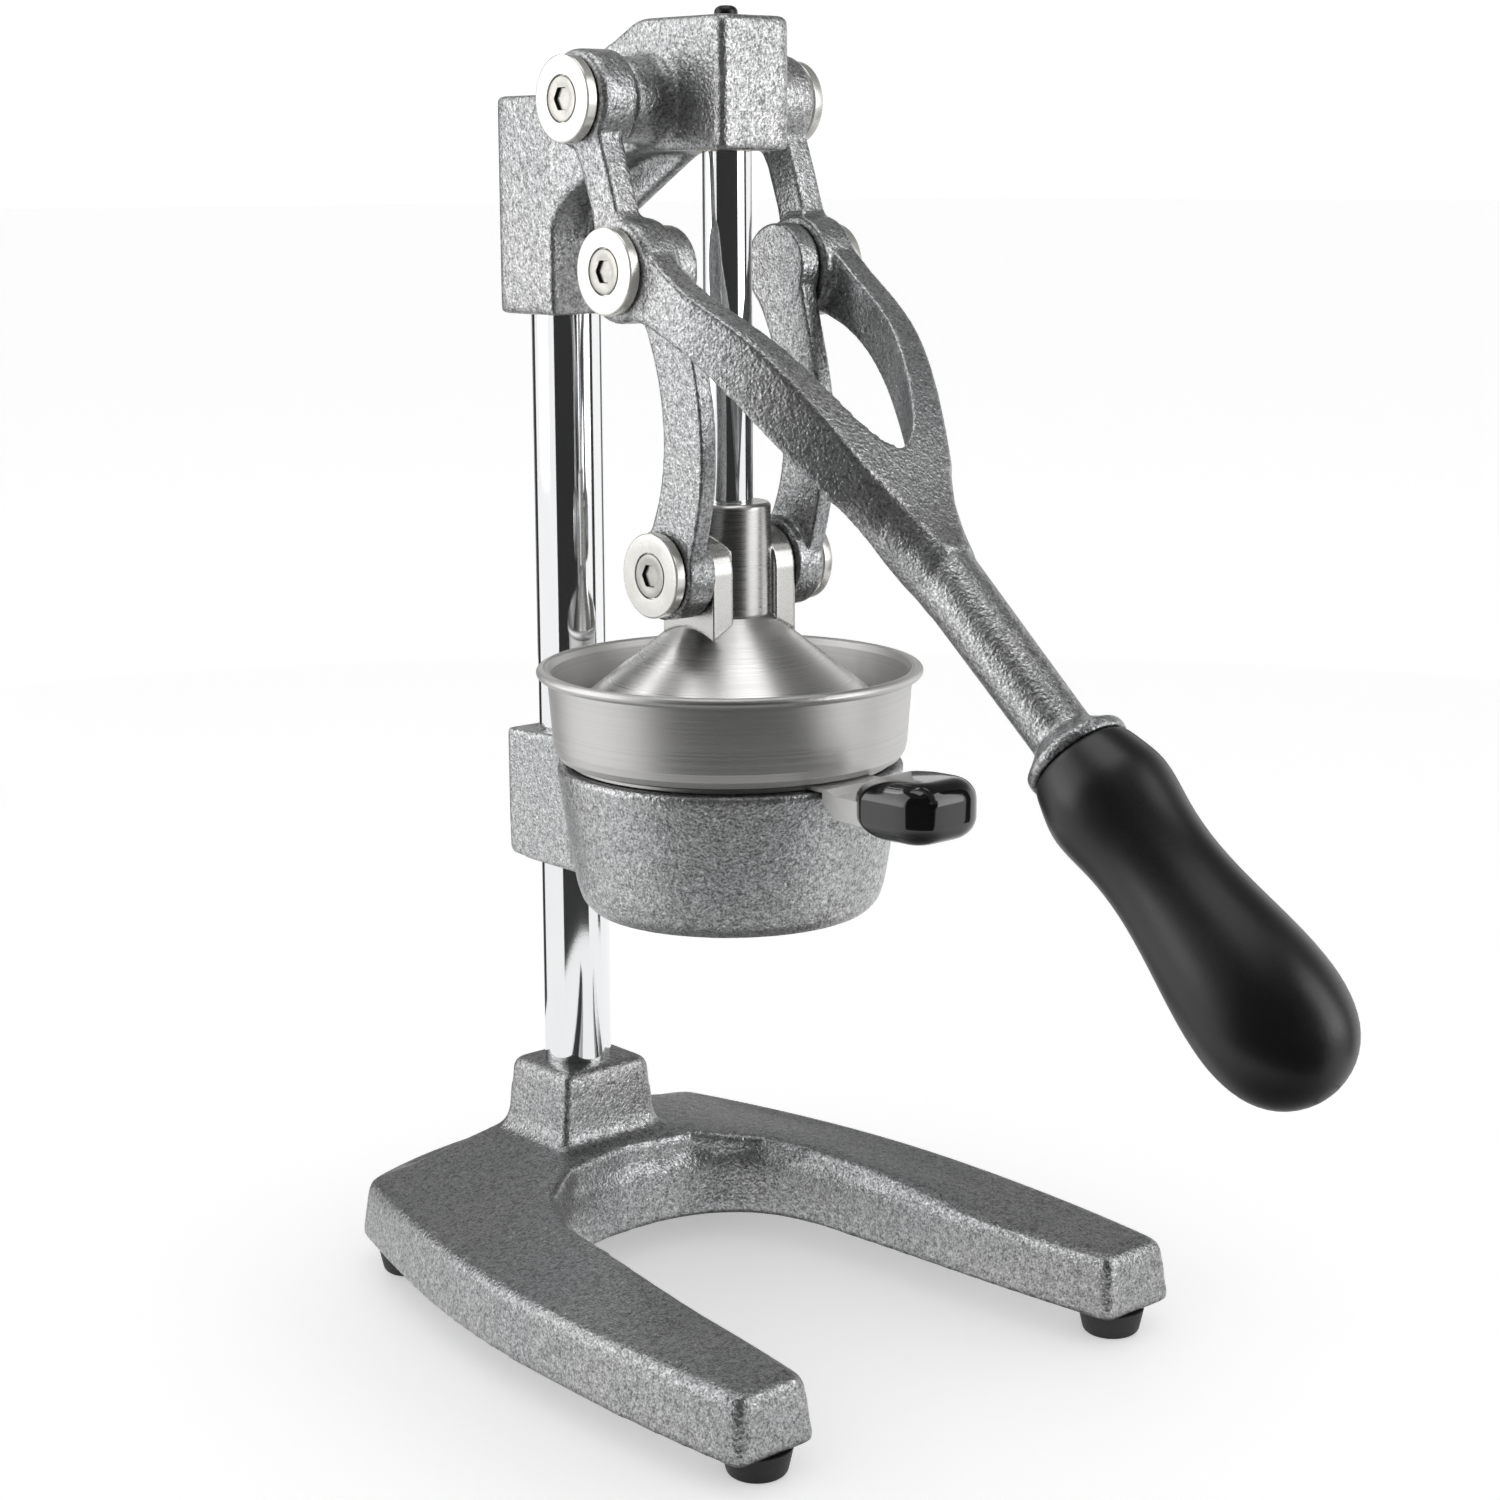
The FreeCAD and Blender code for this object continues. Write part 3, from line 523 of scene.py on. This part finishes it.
def dipped_block():
    """Vinyl-dipped grip of the funnel handle: a soft block, rounder at its front, tapered at its rear."""
    lo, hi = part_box("funnel_handle_grip")
    mid, half = (lo + hi) / 2, (hi - lo) / 2
    soft, levels = min(7.2 * MM, half.z * 0.96), 11
    front_r, least_r, rear_r, taper, droop = 11.0 * MM, 2 * MM, 4 * MM, 6.5 * MM, 0.6 * MM
    bm = bmesh.new()
    rings = []
    for k in range(2 * levels):
        upper = k >= levels
        t = (k - levels) / (levels - 1) if upper else (levels - 1 - k) / (levels - 1)
        inset = soft * (1 - math.cos(t * math.pi / 2))
        z = mid.z + (1 if upper else -1) * (half.z - soft + soft * math.sin(t * math.pi / 2))
        x, front, rear = half.x - inset, lo.y + inset, hi.y - inset * 1.5
        outline = rounded([(-x, front), (x, front), (x, rear - taper), (x * 0.72, rear), (-x * 0.72, rear),
                           (-x, rear - taper)], [max(front_r - inset, least_r)] * 2 + [rear_r] * 4, 8)
        rings.append([bm.verts.new((px, py, z - droop * (py - mid.y) / half.y)) for px, py in outline])
    for one, two in zip(rings, rings[1:]):
        join_rings(bm, one, two)
    bm.faces.new(rings[0])
    bm.faces.new(rings[-1])
    obj = from_bmesh("handle_block_dipped", bm, "funnel_handle_grip", VINYL, 60)
    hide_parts("funnel_handle_grip")


lever_grip()
for node in [name for name in nodes if name.startswith("foot_") and "screw" not in name]:
    rubber_foot(node)
dipped_block()

# ------------------------------------------------------------------ nodes that stay
KEPT_LOOK = {"steel_hardware": STEEL, "guide_bush": BRASS, "stainless": SPUN_BOWL, "black_screw": BLACKED}
for node in nodes:
    if not nodes[node].hide_render:
        carried(node, KEPT_LOOK[SLOT_OF[node]])

# ------------------------------------------------------------------ studio
EYE = Vector((-0.57565, -0.6187, 0.37525))
HEADING, PITCH, ROLL = (math.radians(angle) for angle in (48.931, -10.397, -0.208))
MAIN_AXIS = math.atan2(EYE.y - RAM.y, EYE.x)
TARGET = Vector((0, RAM.y, 0.22))


def around(degrees, radius, z):
    """A point round the ram axis; 0 is towards the photographer, positive to their right."""
    a = MAIN_AXIS + math.radians(degrees)
    return Vector((RAM.x + radius * math.cos(a), RAM.y + radius * math.sin(a), z))


def staged(name, bm, tone, rough, glow=0.0):
    """Studio piece with one plain colour."""
    mesh = bpy.data.meshes.new(name)
    bm.to_mesh(mesh)
    bm.free()
    obj = bpy.data.objects.new(name, mesh)
    scene.collection.objects.link(obj)
    g = new_material(name)
    g.set(Base_Color=(tone, tone, tone, 1), Roughness=rough, Emission_Color=(1, 1, 1, 1),
          Emission_Strength=glow)
    mesh.materials.append(g.owner)
    return obj


def floor():
    """Wide pale floor that stays out of reflections."""
    bm = bmesh.new()
    bmesh.ops.create_grid(bm, x_segments=8, y_segments=8, size=30)
    staged("floor", bm, 0.90, 0.6, 0.37).visible_glossy = False


def flag(name, start, end, radius, low, high, tone):
    """A curved dark card that only shows in reflections; angles in degrees, lengths in metres."""
    bm = bmesh.new()
    steps = max(4, int((end - start) / 4))
    angles = [start + (end - start) * k / steps for k in range(steps + 1)]
    rows = [[bm.verts.new(around(angle, radius, z)) for angle in angles] for z in (low, high)]
    for k in range(steps):
        bm.faces.new((rows[0][k], rows[0][k + 1], rows[1][k + 1], rows[1][k]))
    card = staged(name, bm, tone, 0.95)
    card.visible_camera = card.visible_diffuse = card.visible_shadow = False


def area(name, power, width, height, place):
    """Softbox aimed at the press, seen in reflections only."""
    data = bpy.data.lights.new(name, "AREA")
    data.shape, data.size, data.size_y = "RECTANGLE", width, height
    data.energy = power
    obj = bpy.data.objects.new(name, data)
    scene.collection.objects.link(obj)
    obj.location = place
    obj.rotation_euler = (place - TARGET).to_track_quat("Z", "Y").to_euler()
    obj.visible_camera = obj.visible_diffuse = False


def sky():
    """Pale world, dark overhead and below, with more light for diffuse rays."""
    base, extra = 1.05, 1.95
    scene.world = bpy.data.worlds.new("studio")
    g = Graph(scene.world, "Background", "Generated")
    height = g.math("MULTIPLY_ADD", g.add("ShaderNodeSeparateXYZ", {0: g.coord}).outputs["Z"], 0.5, 0.5)
    diffuse = g.add("ShaderNodeLightPath").outputs["Is Diffuse Ray"]
    g.set(Color=g.grey(height, [(0.0, 0.10), (0.10, 0.30), (0.22, 0.85), (0.42, 1.0), (0.60, 1.0),
                                (0.74, 0.30), (0.85, 0.13)]),
          Strength=g.math("MULTIPLY_ADD", diffuse, extra, base))


def photographer():
    """Camera at the angle of the photo."""
    data = bpy.data.cameras.new("camera")
    data.sensor_width, data.lens = 36.0, 66.876
    data.shift_x, data.shift_y = -0.01105, -0.04408
    camera = bpy.data.objects.new("camera", data)
    scene.collection.objects.link(camera)
    quarter = math.pi / 2
    turn = Matrix.Rotation(HEADING - quarter, 4, "Z") @ Matrix.Rotation(quarter + PITCH, 4, "X")
    camera.matrix_world = Matrix.Translation(EYE) @ turn @ Matrix.Rotation(ROLL, 4, "Z")
    scene.camera = camera


floor()
flag("flag_near", -50, 50, 0.45, -0.06, 0.62, 0.015)
flag("flag_right", 88, 101, 0.95, -0.2, 1.1, 0.02)
flag("flag_left", -152, -128, 0.95, -0.2, 1.1, 0.02)
flag("flag_far", 150, 205, 1.3, 0.0, 0.42, 0.10)
area("top", 3.6, 0.8, 0.8, Vector((0.0, RAM.y, 1.3)))
area("left", 6.2, 1.1, 1.3, around(-86, 1.25, 0.75))
area("rim", 3.2, 0.9, 0.5, around(-127, 1.2, 1.25))
area("right", 7.2, 0.86, 1.3, around(69, 1.25, 0.75))
sky()
photographer()
scene.view_settings.view_transform = "Standard"
